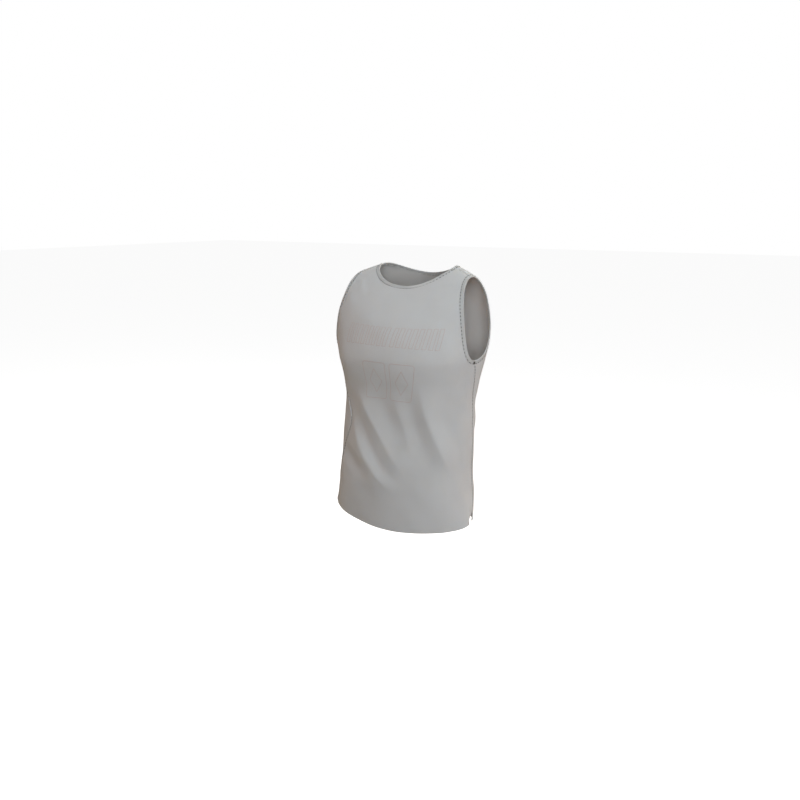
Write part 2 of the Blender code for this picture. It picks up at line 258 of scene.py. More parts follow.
def spline_weights(knots, places):
    """Weights that turn the values at the knots into a natural cubic spline's values at the places."""
    knots = np.asarray(knots, dtype=float)
    count = len(knots)
    step = np.diff(knots)
    bend = np.zeros((count, count))
    load = np.zeros((count, count))
    bend[0, 0] = bend[-1, -1] = 1.0
    for i in range(1, count - 1):
        bend[i, i - 1:i + 2] = step[i - 1], 2 * (step[i - 1] + step[i]), step[i]
        load[i, i - 1:i + 2] = 6 / step[i - 1], -6 / step[i - 1] - 6 / step[i], 6 / step[i]
    curvature = np.linalg.solve(bend, load)
    left = np.clip(np.searchsorted(knots, places) - 1, 0, count - 2)
    rows = np.arange(len(places))
    a = (knots[left + 1] - places) / step[left]
    b = (places - knots[left]) / step[left]
    weights = np.zeros((len(places), count))
    weights[rows, left] += a
    weights[rows, left + 1] += b
    square = (step[left] ** 2 / 6)[:, None]
    bends = (a ** 3 - a)[:, None] * curvature[left] + (b ** 3 - b)[:, None] * curvature[left + 1]
    return weights + bends * square


def section_points(section, angle):
    """Points of one section at the given angles, in radians."""
    across, ahead = np.sin(angle), np.cos(angle)
    power = section.roundness
    reach = (np.abs(across) ** power + np.abs(ahead) ** power) ** (-1 / power)
    x = section.half_width * reach * across + section.sway
    depth = reach * ahead
    end_y = np.where(depth >= 0, section.front_y, section.back_y)
    end_z = np.where(depth >= 0, section.front_z, section.back_z)
    y = section.side_y + np.abs(depth) * (end_y - section.side_y)
    z = section.side_z + np.abs(depth) * (end_z - section.side_z)
    return np.stack([x, y, z], axis=-1)


def form(angle, level):
    """Points of the smooth form, up the front, over the shoulder line and down the back."""
    angle = np.radians(np.asarray(angle, dtype=float))
    shape = angle.shape
    angle = angle.ravel()
    level = np.broadcast_to(np.asarray(level, dtype=float), shape).ravel()
    behind = np.cos(angle) < 0
    over = np.where(behind, 2 * SHOULDER_LEVEL - level, level)
    from_front = np.where(behind, np.copysign(np.pi, np.sin(angle)) - angle, angle)
    levels = [section.level for section in SECTIONS]
    knots = levels + [2 * SHOULDER_LEVEL - value for value in levels[-2::-1]]
    weights = spline_weights(knots, over)
    points = np.zeros((len(angle), 3))
    for column, section in enumerate(SECTIONS):
        points += weights[:, column, None] * section_points(section, from_front)
    for column, section in enumerate(SECTIONS[-2::-1], start=len(SECTIONS)):
        points += weights[:, column, None] * section_points(section, np.pi - from_front)
    return points.reshape(shape + (3,))


chest = form(np.arange(-180, 181), 0.46)
girth = np.linalg.norm(np.diff(chest, axis=0), axis=1).sum()
print("chest girth just below the armholes, in m:", round(float(girth), 3))

# %% [markdown]
# ## The cut
#
# The maker cuts a front and a back along a neckline, two armholes, two side seams and two shoulder seams.
# The worn cloth is twisted a little on the body, so the side seams lean, most of all at the waist. Each line
# is a function of a share along it, so the panels, the bindings and the stitches all follow the same lines.

# %% Lines of the cut
NECK_ANGLE = 32.9
NECK_FOOT = {"front": 0.664, "back": 0.656}
SHOULDER_ANGLE = 56.0
ARMPIT_ANGLE = 73.0
ARMPIT_LEVEL = 0.467
ARMHOLE_CURVE = {"front": 2.1, "back": 1.4}
ARMHOLE_FULLNESS = {"front": 0.0, "back": 4.5}
VENT_HEIGHT = 0.042
VENT_SPREAD = {("front", 1): 0.018, ("front", -1): 0.007, ("back", 1): 0.003, ("back", -1): 0.003}

Seam = namedtuple("Seam", "level left_angle right_angle")
SIDE_SEAMS = [
    Seam(0.000, 101.0, -70.0),
    Seam(0.050, 101.0, -68.0),
    Seam(0.120, 100.0, -62.0),
    Seam(0.200, 99.0, -50.0),
    Seam(0.260, 97.0, -41.0),
    Seam(0.330, 94.0, -52.0),
    Seam(0.400, 86.0, -66.0),
    Seam(ARMPIT_LEVEL, ARMPIT_ANGLE, -ARMPIT_ANGLE),
]


def smooth_step(share):
    """0 below 0, 1 above 1 and a soft rise between."""
    share = np.clip(share, 0.0, 1.0)
    return share * share * (3 - 2 * share)


def body_angle(panel, side, away):
    """Angle round the body of a place so many degrees away from a panel's middle."""
    return side * (away if panel == "front" else 180.0 - away)


def seam_angle(side, level):
    """Angle round the body of a side seam."""
    level = np.asarray(level, dtype=float)
    levels = [seam.level for seam in SIDE_SEAMS]
    angles = [seam.left_angle if side > 0 else seam.right_angle for seam in SIDE_SEAMS]
    return (spline_weights(levels, np.clip(level, 0, ARMPIT_LEVEL).ravel()) @ angles).reshape(level.shape)


def seam_away(panel, side, level):
    """Degrees from a panel's middle to its side seam."""
    from_front = side * seam_angle(side, level)
    return from_front if panel == "front" else 180.0 - from_front


def inner_line(panel, share):
    """Up the middle of a panel for shares 0 to 1, then along half the neckline for 1 to 2."""
    foot = NECK_FOOT[panel]
    turn = np.clip(share - 1, 0, 1) * np.pi / 2
    away = NECK_ANGLE * np.sin(turn)
    level = np.where(share <= 1, foot * share, foot + (SHOULDER_LEVEL - foot) * (1 - np.cos(turn)))
    return away, level


def outer_line(panel, side, share):
    """Up a side seam for shares 0 to 1, then along the armhole for 1 to 2."""
    turn = np.clip(share - 1, 0, 1) * np.pi / 2
    up_seam = ARMPIT_LEVEL * np.minimum(share, 1)
    level = up_seam + (SHOULDER_LEVEL - ARMPIT_LEVEL) * (1 - np.cos(turn))
    armpit = seam_away(panel, side, np.array(ARMPIT_LEVEL))
    armhole = SHOULDER_ANGLE + (armpit - SHOULDER_ANGLE) * (1 - np.sin(turn)) ** ARMHOLE_CURVE[panel]
    armhole += ARMHOLE_FULLNESS[panel] * np.sin(np.pi * np.sin(turn))
    away = np.where(share <= 1, seam_away(panel, side, up_seam), armhole)
    return away, level


print("armpit at level", ARMPIT_LEVEL, "and vents of", round(VENT_HEIGHT * 1000), "mm")

# %% [markdown]
# ## Creases
#
# Knit cloth that is twisted on a body shows pull lines: long ridges with a crisp top and wide, straight
# flanks. Each is one row of a table: where it starts and ends, how its line bows, how far its flanks reach
# below and above that line, its height and the radius of its top. A height below 0 makes a trough. The taper
# is the share of its run over which it rises from nothing. A few slow waves keep the cloth between from
# looking ironed.

# %% Folds and slow waves
Fold = namedtuple("Fold", "angle_1 level_1 angle_2 level_2 bow below above height tip taper")
FOLDS = [
    # ridges across the belly, from the wearer's right down to the left
    Fold(-40.0, 0.288, 15.0, 0.084, -0.020, 0.050, 0.028, 0.012, 0.0025, 0.35),
    Fold(-34.0, 0.385, 21.0, 0.139, -0.009, 0.044, 0.048, 0.013, 0.0025, 0.28),
    Fold(3.0, 0.370, 24.0, 0.186, 0.000, 0.036, 0.036, 0.007, 0.0025, 0.35),
    Fold(25.0, 0.413, 65.0, 0.136, -0.021, 0.040, 0.050, 0.014, 0.0025, 0.35),
    # the trough below them
    Fold(-62.0, 0.195, -4.0, 0.125, -0.004, 0.022, 0.022, -0.006, 0.010, 0.35),
    # the chest, and the hollow below its left side
    Fold(-68.0, 0.445, 74.0, 0.470, -0.004, 0.052, 0.110, 0.016, 0.014, 0.25),
    Fold(24.0, 0.440, 82.0, 0.405, 0.000, 0.040, 0.040, -0.005, 0.012, 0.35),
    # the same twist behind, from the wearer's left down to the right
    Fold(112.0, 0.350, 160.0, 0.145, -0.008, 0.036, 0.034, 0.010, 0.003, 0.35),
    Fold(142.0, 0.370, 192.0, 0.165, 0.003, 0.036, 0.036, 0.009, 0.003, 0.30),
    Fold(176.0, 0.345, 216.0, 0.200, 0.002, 0.030, 0.032, 0.006, 0.003, 0.35),
    Fold(200.0, 0.385, 242.0, 0.180, -0.006, 0.040, 0.040, 0.010, 0.003, 0.35),
    Fold(128.0, 0.195, 174.0, 0.115, -0.004, 0.024, 0.024, -0.004, 0.012, 0.35),
    # the front corner of the left vent, turned in a little
    Fold(95.0, -0.060, 95.0, 0.050, 0.000, 0.024, 0.020, -0.0075, 0.006, 0.45),
    # small creases where the straps pull
    Fold(-56.0, 0.700, -32.0, 0.655, 0.002, 0.010, 0.010, 0.0016, 0.004, 0.35),
    Fold(-46.0, 0.665, -26.0, 0.632, 0.002, 0.012, 0.012, 0.0014, 0.004, 0.35),
    Fold(50.0, 0.668, 22.0, 0.640, 0.002, 0.012, 0.012, 0.0016, 0.004, 0.35),
    Fold(46.0, 0.690, 30.0, 0.672, 0.002, 0.010, 0.010, 0.0012, 0.004, 0.35),
]
FOLD_FOOT = 0.35              # share of a fold's reach over which its foot runs out

Wave = namedtuple("Wave", "around up phase height")
WAVES = [                     # waves per metre round the cloth and up it, and metres of height
    Wave(5.1, 2.3, 0.4, 0.0007),
    Wave(-3.7, 6.1, 2.1, 0.0006),
    Wave(9.3, -4.9, 4.4, 0.0004),
    Wave(-7.9, -11.2, 1.3, 0.0003),
    Wave(14.1, 8.7, 5.2, 0.00018),
]
STILL_REACH = 0.060           # the waves die out this near to the shoulder seams


def fold_profile(aside, fold):
    """The height of a fold across its line: straight flanks, a rounded top and soft feet."""
    reach = np.where(aside < 0, fold.below, fold.above)
    rise = 1 - (np.hypot(aside, fold.tip) - fold.tip) / reach
    foot = (rise + FOLD_FOOT) ** 2 / (4 * FOLD_FOOT)
    return fold.height * np.select([rise > FOLD_FOOT, rise > -FOLD_FOOT], [rise, foot])


def one_turn(angle):
    """The same angle between -180 and 180 degrees."""
    return (angle + 180.0) % 360.0 - 180.0


def fold_lift(fold, angle, level):
    """How far one fold lifts the cloth."""
    run_around = np.radians(fold.angle_2 - fold.angle_1) * GIRTH_RADIUS
    run_up = fold.level_2 - fold.level_1
    length = np.hypot(run_around, run_up)
    around = np.radians(one_turn(angle - fold.angle_1)) * GIRTH_RADIUS
    up = level - fold.level_1
    share = (around * run_around + up * run_up) / length ** 2
    aside = (around * -run_up + up * run_around) / length - fold.bow * 4 * share * (1 - share)
    ends = smooth_step(share / fold.taper) * smooth_step((1 - share) / fold.taper)
    return fold_profile(aside, fold) * ends


def fold_relief(angle, level):
    """How far the folds and waves lift the cloth off the smooth form."""
    lift = np.zeros(np.shape(angle))
    for fold in FOLDS:
        lift += fold_lift(fold, angle, level)
    around = np.radians(angle) * GIRTH_RADIUS
    still = smooth_step(np.abs(SHOULDER_LEVEL - level) / STILL_REACH)
    for wave in WAVES:
        turn = 2 * np.pi * (wave.around * around + wave.up * level) + wave.phase
        lift += still * wave.height * np.sin(turn)
    return lift


print("folds:", len(FOLDS), "highest", max(fold.height for fold in FOLDS) * 1000, "mm")

# %% [markdown]
# ## Seams pull the cloth in
#
# Along a sewn seam the thread draws the two edges inwards and puckers them a little at each side. A narrow
# groove with a small ripple gives that. It is part of the cloth's own shape, so that the panels, the
# stitches and whatever lies on them all follow it.

# %% Seam grooves
GROOVE_DEPTH = 0.0009
GROOVE_WIDTH = 0.0035
GROOVE_TOP = ARMPIT_LEVEL + 0.004     # the side grooves end here, just under the armhole binding
GROOVE_FADE = 0.012
PUCKER_HEIGHT = 0.0003
PUCKER_WIDTH = 0.010
# how many puckers to the metre, and how strong they are beside each other
PUCKER_BEATS = [(62.0, 1.0), (22.94, 0.6)]
SHOULDER_RADIUS = 0.11        # turns an angle into a distance along a shoulder seam


def groove(distance, along):
    """The lift beside a seam, at a distance from it and so far along it."""
    pinch = -GROOVE_DEPTH * np.exp(-(distance / GROOVE_WIDTH) ** 2)
    beat = sum(strength * np.sin(2 * np.pi * per_metre * along) for per_metre, strength in PUCKER_BEATS)
    return pinch + PUCKER_HEIGHT * beat * np.exp(-(distance / PUCKER_WIDTH) ** 2)


def seam_relief(angle, level):
    """The grooves of the side seams and the shoulder seams."""
    turned = one_turn(angle)
    lift = groove(SHOULDER_LEVEL - level, np.radians(turned) * SHOULDER_RADIUS)
    fade = smooth_step((GROOVE_TOP - level) / GROOVE_FADE)
    for side in (1, -1):
        distance = np.radians(turned - seam_angle(side, level)) * GIRTH_RADIUS
        lift = lift + groove(distance, level) * fade
    return lift


SLOPE_TURN = 0.2              # a slope is measured over so many degrees and metres to each side
SLOPE_RISE = 0.001


def slopes(surface, angle, level):
    """How a surface's points move for each degree round the body, and for each metre of level."""
    around = surface(angle + SLOPE_TURN, level) - surface(angle - SLOPE_TURN, level)
    up = surface(angle, level + SLOPE_RISE) - surface(angle, level - SLOPE_RISE)
    return around / (2 * SLOPE_TURN), up / (2 * SLOPE_RISE)


def unit(vectors):
    return vectors / np.linalg.norm(vectors, axis=-1, keepdims=True)


def normals(surface, angle, level):
    around, up = slopes(surface, angle, level)
    return unit(np.cross(around, up))


def cloth(angle, level):
    """Points of the outside of the cloth, with its folds and grooves."""
    lift = fold_relief(angle, level) + seam_relief(angle, level)
    return form(angle, level) + lift[..., None] * normals(form, angle, level)


def cloth_between(angle, level):
    """The cloth without the seam grooves, for directions that have to stay steady."""
    return form(angle, level) + fold_relief(angle, level)[..., None] * normals(form, angle, level)


def off_cloth(angle, level, lift):
    """Points that stand off the cloth by a lift, in metres. Below 0 they are inside it."""
    return cloth(angle, level) + normals(cloth_between, angle, level) * np.asarray(lift)[..., None]


def step_on_cloth(angle, level, way, distance):
    """The place that lies a distance away over the cloth, in a direction along it."""
    around, up = slopes(cloth_between, angle, level)
    around_around = np.sum(around * around, axis=-1)
    around_up = np.sum(around * up, axis=-1)
    up_up = np.sum(up * up, axis=-1)
    by_around = np.sum(way * around, axis=-1)
    by_up = np.sum(way * up, axis=-1)
    area = around_around * up_up - around_up ** 2
    new_angle = angle + distance * (by_around * up_up - by_up * around_up) / area
    new_level = level + distance * (by_up * around_around - by_around * around_up) / area
    return new_angle, new_level


print("groove of", GROOVE_DEPTH * 1000, "mm along the side seams and the shoulder seams")

# %% [markdown]
# ## Meshes from grids
#
# Everything sewn here is a sheet or a tube, and both are a grid of points. One function turns a grid into a
# mesh object. It also stores where each point lies on the flat cloth, in metres, as a UV map: the knit is
# drawn in those coordinates, so its loops run up the cloth and have the same size everywhere.

# %% Grid to mesh
CLOTH_MAP = "cloth_place"
WELD_DISTANCE = 1e-6

Grid = namedtuple("Grid", "points places closed_rows closed_columns", defaults=(False, False))


def grid_faces(grid, first):
    """The quads of one grid, numbered from its first point."""
    rows, columns = grid.points.shape[:2]
    index = first + np.arange(rows * columns).reshape(rows, columns)
    low = index if grid.closed_rows else index[:-1]
    high = np.roll(index, -1, axis=0) if grid.closed_rows else index[1:]
    quads = np.stack([low, np.roll(low, -1, axis=1), np.roll(high, -1, axis=1), high], axis=-1)
    if not grid.closed_columns:
        quads = quads[:, :-1]
    return quads.reshape(-1, 4)


def grid_object(name, grids, material):
    """A mesh object from grids of points, which are welded where they meet."""
    points, places, faces, count = [], [], [], 0
    for grid in grids:
        faces.append(grid_faces(grid, count))
        points.append(grid.points.reshape(-1, 3))
        places.append(grid.places.reshape(-1, 2))
        count += len(points[-1])
    points, places, faces = (np.concatenate(part) for part in (points, places, faces))
    piece = mesh_object(name, points.tolist(), faces.tolist(), material)
    layer = piece.data.uv_layers.new(name=CLOTH_MAP)
    layer.uv.foreach_set("vector", places[faces.ravel()].astype(np.float32).ravel())
    if len(grids) > 1:
        work = bmesh.new()
        work.from_mesh(piece.data)
        bmesh.ops.remove_doubles(work, verts=work.verts, dist=WELD_DISTANCE)
        work.to_mesh(piece.data)
        work.free()
    piece.data.shade_smooth()
    return piece


def flat_places(angle, level):
    """Where a place lies on the flat cloth, in metres: round it and up it."""
    return np.stack([np.radians(angle) * GIRTH_RADIUS, np.asarray(level, dtype=float)], axis=-1)


def triangle_count(piece):
    mesh = piece.evaluated_get(bpy.context.evaluated_depsgraph_get()).data
    return sum(len(face.vertices) - 2 for face in mesh.polygons)


print("cloth coordinates are stored as", CLOTH_MAP)

# %% [markdown]
# ## The knit
#
# The panels are a plain polyester knit. Its face shows columns of small V-shaped loops. Polyester yarn is
# smooth, but the loops scatter the light, so the cloth looks matt with a faint soft sheen where it turns
# away. The loops are drawn as a height: each column has two leaning legs, and a wave along each leg makes the
# single stitches. The gaps between the loops are also painted darker, as painted shade in the knit's hollows.
# The real knit has about 14 columns to the centimetre. It is drawn a little coarser, at 1.1 mm, so that a
# close view shows it.

# %% Knit material
WALE_MM = 1.1                 # from one column of loops to the next
COURSE_MM = 0.9               # from one row of loops to the next
LOOP_DEPTH = 0.00022
LOOP_LEAN = 0.7               # how far a leg climbs from its column's edge to its middle, in rows
LOOP_WAIST = 0.25             # how much the height falls and rises along a leg
GAP_PAINTED_SHADE = 0.42           # how much painted shade darkens the gaps between the loops
CLOUDINESS = 0.16             # how much the tone drifts over the cloth
POLYESTER_IOR = 1.53


def loop_height(tree):
    """The height of the knitted loops, 0 to 1, from the place on the flat cloth."""
    place = add_node(tree, "SeparateXYZ", add_node(tree, "UVMap", uv_map=CLOTH_MAP))
    column = add_node(tree, "Math", place.outputs["X"], 1000 / WALE_MM, operation="MULTIPLY")
    row = add_node(tree, "Math", place.outputs["Y"], 1000 / COURSE_MM, operation="MULTIPLY")
    half = add_node(tree, "Math", column, 0.5, operation="PINGPONG")
    leg = add_node(tree, "Math", half, 2.0, operation="MULTIPLY")
    bulge = add_node(tree, "Math", leg, math.pi, operation="MULTIPLY")
    ridge = add_node(tree, "Math", bulge, operation="SINE")
    lean = add_node(tree, "Math", leg, LOOP_LEAN, operation="MULTIPLY")
    climb = add_node(tree, "Math", row, lean, operation="SUBTRACT")
    turn = add_node(tree, "Math", climb, 2 * math.pi, operation="MULTIPLY")
    beat = add_node(tree, "Math", turn, operation="COSINE")
    stitch = add_node(tree, "Math", beat, LOOP_WAIST, 1 - LOOP_WAIST, operation="MULTIPLY_ADD")
    return add_node(tree, "Math", ridge, stitch, operation="MULTIPLY")


def knit(name, light, dark, sheen):
    """Polyester knit: a light yarn, painted shade in the gaps between its loops, and how soft its sheen is.
    """
    material, tree, shader = new_material(name)
    height = loop_height(tree)
    metres = add_node(tree, "TexCoord").outputs["Object"]
    cloudy = add_node(tree, "TexNoise", {"Vector": metres, "Scale": 14.0, "Detail": 3.0, "Roughness": 0.55})
    # painted shade: the gaps between the loops are drawn darker, the lower they lie
    gap = add_node(tree, "Math", 1.0, height, operation="SUBTRACT")
    depth = add_node(tree, "Math", gap, GAP_PAINTED_SHADE, operation="MULTIPLY")
    tone = add_node(tree, "Math", cloudy, CLOUDINESS, -CLOUDINESS / 2, operation="MULTIPLY_ADD")
    share = add_node(tree, "Clamp", add_node(tree, "Math", depth, tone, operation="ADD"))
    colour = add_node(tree, "Mix", {0: share, 6: linear(light), 7: linear(dark)}, data_type="RGBA")
    fuzz = add_node(tree, "TexNoise", {"Vector": metres, "Scale": 900.0, "Detail": 2.0})
    raised = add_node(tree, "Math", fuzz, 0.25, height, operation="MULTIPLY_ADD")
    fill(tree, shader, {
        "Base Color": colour.outputs[2],
        "Roughness": add_node(tree, "MapRange", {0: cloudy, 3: 0.75, 4: 0.85}),
        "Normal": add_node(tree, "Bump", {"Strength": 0.55, "Distance": LOOP_DEPTH, "Height": raised}),
        "IOR": POLYESTER_IOR,
        "Specular IOR Level": 0.35,
        "Sheen Weight": sheen,
        "Sheen Roughness": 0.45,
        # one layer of knit lets a part of the light through, which brightens the inside
        "Subsurface Weight": 0.45,
        "Subsurface Radius": (1.0, 0.85, 0.70),
        "Subsurface Scale": 0.0016,
    })
    return material


# the second colour of each knit is the painted shade in the gaps between its loops
BODY_KNIT = knit("polyester_jersey_knit", "#c9cacb", "#8f8e8c", 0.12)
BINDING_KNIT = knit("polyester_binding_knit", "#bdbebe", "#868583", 0.10)
print("materials:", BODY_KNIT.name, BINDING_KNIT.name)

# %% [markdown]
# ## Panels
#
# Each panel is two grids, one for each half, from the hem up and from the middle to a side seam, so that its
# rows bend round the neckline and the armholes instead of being cut by them. The halves are welded down the
# middle. At the foot the cloth is turned up inside: the grid goes on under the hem's edge and back up, with a
# small round fold, so the edge is truly double. The Solidify modifier then gives the sheet the thickness of
# the knit.

# %% Panels
Zone = namedtuple("Zone", "rows inner outer")
ZONES = [
    Zone(22, 0.18, 0.25),     # hem
    Zone(88, 0.50, 0.74),     # folds
    Zone(20, 0.59, 1.00),     # up to the armpits
    Zone(36, 1.00, 1.45),     # chest
    Zone(20, 1.45, 1.66),     # straps
    Zone(24, 2.00, 2.00),     # over the shoulders
]
HALF_COLUMNS = 76
SEAM_GAP = 0.0004             # between the front and the back, with a strip of cloth behind it
HEM_DEPTH = 0.020             # of the cloth that is turned up inside
HEM_FOLD_RADIUS = 0.0012
HEM_FOLD_STEPS = 5
HEM_RISE_STEPS = 6
SHELL_WALL = 0.0010


def row_shares():
    """Where each row starts on the inner line and ends on the outer line."""
    inner, outer = [0.0], [0.0]
    for zone in ZONES:
        share = np.arange(1, zone.rows + 1) / zone.rows
        inner.extend(inner[-1] + (zone.inner - inner[-1]) * share)
        outer.extend(outer[-1] + (zone.outer - outer[-1]) * share)
    return np.array(inner), np.array(outer)


def degrees_for(angle, level, distance):
    """Degrees that a distance takes up round the body."""
    around, _ = slopes(form, angle, level)
    return distance / np.linalg.norm(around, axis=-1)


def half_places(panel, side):
    """Angles and levels of half a panel: rows from the hem up, columns from its middle to its side."""
    inner_shares, outer_shares = row_shares()
    inner_away, inner_level = inner_line(panel, inner_shares)
    outer_away, outer_level = outer_line(panel, side, outer_shares)
    vent = VENT_SPREAD[panel, side] * smooth_step(1 - outer_level / VENT_HEIGHT)
    cut = degrees_for(body_angle(panel, side, outer_away), outer_level, SEAM_GAP / 2 + vent)
    outer_away = outer_away - np.where(outer_shares <= 1, cut, 0.0)
    column = np.linspace(0, 1, HALF_COLUMNS + 1)
    away = inner_away[:, None] + (outer_away - inner_away)[:, None] * column
    level = inner_level[:, None] + (outer_level - inner_level)[:, None] * column
    level[-1] -= SEAM_GAP / 2
    return body_angle(panel, side, away), level


def turned_hem(angle, points):
    """The rows of cloth turned up inside the hem, from the highest down to the fold under the edge."""
    hem = np.zeros(angle.shape)
    rows = [off_cloth(angle, hem + HEM_DEPTH * step / HEM_RISE_STEPS, -2 * HEM_FOLD_RADIUS)
            for step in range(HEM_RISE_STEPS, 0, -1)]
    out = normals(cloth_between, angle, hem)
    up = unit(slopes(cloth_between, angle, hem)[1])
    for step in range(HEM_FOLD_STEPS, 0, -1):
        turn = math.pi * step / (HEM_FOLD_STEPS + 0.5)
        rows.append(points - HEM_FOLD_RADIUS * (out * (1 - math.cos(turn)) + up * math.sin(turn)))
    return np.array(rows)


def panel_grid(panel, side):
    """Half a panel with its hem, as one grid that runs the way that turns its outside out."""
    angle, level = half_places(panel, side)
    if panel == "back":
        angle = angle % 360.0
    if (panel == "front") != (side > 0):
        angle, level = angle[:, ::-1], level[:, ::-1]
    points = cloth(angle, level)
    hem = turned_hem(angle[0], points[0])
    hem_level = np.linspace(-HEM_DEPTH, 0, len(hem), endpoint=False)[:, None]
    hem_places = flat_places(*np.broadcast_arrays(angle[0], hem_level))
    return Grid(np.concatenate([hem, points]), np.concatenate([hem_places, flat_places(angle, level)]))


def make_panel(panel):
    """One panel as a sheet with the knit's thickness on its inside."""
    piece = grid_object(panel + "_panel", [panel_grid(panel, side) for side in (1, -1)], BODY_KNIT)
    wall = piece.modifiers.new("knit_thickness", "SOLIDIFY")
    wall.thickness = SHELL_WALL
    wall.offset = -1.0
    return piece


PANELS = {panel: make_panel(panel) for panel in ("front", "back")}
for panel, piece in PANELS.items():
    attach(piece, "root")
    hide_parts(panel)
    print(piece.name, triangle_count(piece), "triangles")

# %% [markdown]
# ## Bindings
#
# A binding is a strip of knit folded over the raw edge and stitched down with one row of stitches. In section
# it is a flat roll: plump over the edge, pressed thin under the needle, with a small lip beyond the stitches.
# The section is a short table of points, given as the way in from the edge and the way out from the cloth,
# and it is swept round the edge. A small beat at each stitch puckers the lip.

# %% Bound edges
STITCH_PITCH = 0.0090         # the real stitches are 3 mm long, too short to show
STATIONS_PER_STITCH = 6
STITCH_STATIONS = 4           # stations that the thread lies over. It is inside the cloth at the others.
NECK_STEPS = 160              # places along half a panel's neckline or armhole, before they are spaced out
ARMHOLE_STEPS = 240

Edge = namedtuple("Edge", "angle level along inwards")


def edge_places(steps, line, parts):
    """Places round an edge, from the halves of panels in their order. Each one runs forwards or backwards."""
    share = np.linspace(1, 2, steps)
    angles, levels = [], []
    for panel, side, forwards in parts:
        away, level = line(panel, side, share)
        order = slice(None) if forwards else slice(None, None, -1)
        angles.append(body_angle(panel, side, away)[order])
        levels.append(level[order])
    return np.concatenate(angles), np.concatenate(levels)


def neck_line(steps):
    """Places round the neckline: down and up the front, then down and up the back."""
    halves = [("front", -1, False), ("front", 1, True), ("back", 1, False), ("back", -1, True)]
    angle, level = edge_places(steps, lambda panel, _, share: inner_line(panel, share), halves)
    return angle % 360.0, level


def armhole_line(side, steps):
    """Places round an armhole. Both armholes turn the same way, seen from outside."""
    halves = [("front", side, side < 0), ("back", side, side > 0)]
    return edge_places(steps, outer_line, halves if side > 0 else halves[::-1])


def bound_edge(angle, level):
    """A closed edge with stations at even distances, a whole number of stitches round."""
    points = form(angle, level)
    gaps = np.linalg.norm(np.roll(points, -1, axis=0) - points, axis=1)
    reached = np.concatenate([[0], np.cumsum(gaps)])
    count = int(round(reached[-1] / STITCH_PITCH)) * STATIONS_PER_STITCH
    along = reached[-1] * (np.arange(count) + 0.5) / count
    turning = np.unwrap(np.radians(np.append(angle, angle[0])))
    angle = np.degrees(np.interp(along, reached, turning))
    level = np.interp(along, reached, np.append(level, level[0]))
    points = form(angle, level)
    run = unit(np.roll(points, -1, axis=0) - np.roll(points, 1, axis=0))
    return Edge(angle, level, along, unit(np.cross(run, normals(cloth_between, angle, level))))


def over_edge(edge, distance, lift):
    """Points lifted off the cloth at a distance in from an edge, or past it if below 0, and the way out."""
    distance, lift = (np.broadcast_to(value, edge.angle.shape) for value in (distance, lift))
    angle, level = step_on_cloth(edge.angle, edge.level, edge.inwards, np.maximum(distance, 0.0))
    out = normals(cloth_between, angle, level)
    past = edge.inwards * np.minimum(distance, 0.0)[:, None]
    return cloth(angle, level) + past + out * lift[:, None], out


EDGES = {
    "neck_binding": bound_edge(*neck_line(NECK_STEPS)),
    "armhole_binding_left": bound_edge(*armhole_line(1, ARMHOLE_STEPS)),
    "armhole_binding_right": bound_edge(*armhole_line(-1, ARMHOLE_STEPS)),
}
for name, edge in EDGES.items():
    stitches = len(edge.angle) // STATIONS_PER_STITCH
    print(name, "runs", round(edge.along[-1], 3), "m with", stitches, "stitches")

# %% Binding strips
BINDING_WIDTH = 0.0095
STITCH_SHARE = 0.83           # of the width, from the edge in, where the stitches run

NEEDLE_REACH = 0.12           # share of the width to each side over which a stitch pulls the strip
NEEDLE_SWAY = 0.00020         # how far it moves the strip along the cloth
NEEDLE_DIP = 0.00018          # and off the cloth

# how far in from the edge, as a share of the width, and how far out from the cloth, in mm
BINDING_SECTION = [
    # the outside, from the lip beyond the stitches to the edge
    (1.00, 0.05), (0.99, 0.40), (0.94, 0.55), (0.88, 0.42), (0.83, 0.20), (0.78, 0.35), (0.70, 0.50),
    (0.55, 0.58), (0.38, 0.62), (0.20, 0.75), (0.06, 0.95),
    # round the edge
    (-0.05, 0.85), (-0.12, 0.35), (-0.15, -0.60), (-0.12, -1.60), (-0.05, -2.15),
    # the inside, back to the stitches
    (0.06, -2.35), (0.20, -2.35), (0.38, -2.30), (0.55, -2.25), (0.66, -2.10), (0.72, -1.85), (0.78, -1.95),
    (0.82, -1.90), (0.83, -1.30),
    # the folded strip's own inner face, round the panel's raw edge
    (0.60, -1.25), (0.30, -1.25), (0.04, -1.25), (-0.02, -0.60), (0.04, 0.05), (0.30, 0.05), (0.60, 0.05),
]


def stitch_beat(edge):
    """1 in the middle of each stitch and -1 where the needle went in."""
    count = len(edge.angle)
    return np.cos(2 * np.pi * ((np.arange(count) + 0.5) / STATIONS_PER_STITCH - 0.5))


def make_binding(name, edge):
    """The section swept round an edge, with its small beat beside the stitches."""
    beat = stitch_beat(edge)
    rows, places = [], []
    for share, millimetres in BINDING_SECTION:
        pull = beat * math.exp(-((share - STITCH_SHARE) / NEEDLE_REACH) ** 2)
        lift = millimetres / 1000 + NEEDLE_DIP * pull * np.sign(millimetres)
        rows.append(over_edge(edge, share * BINDING_WIDTH + NEEDLE_SWAY * pull, lift)[0])
        places.append(np.stack([np.full(len(edge.along), share * BINDING_WIDTH), edge.along], axis=-1))
    grid = Grid(np.stack(rows, axis=1), np.stack(places, axis=1), True, True)
    return grid_object(name, [grid], BINDING_KNIT)


for name, edge in EDGES.items():
    piece = make_binding(name + "_strip", edge)
    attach(piece, "root")
    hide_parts(name)
    print(piece.name, triangle_count(piece), "triangles")
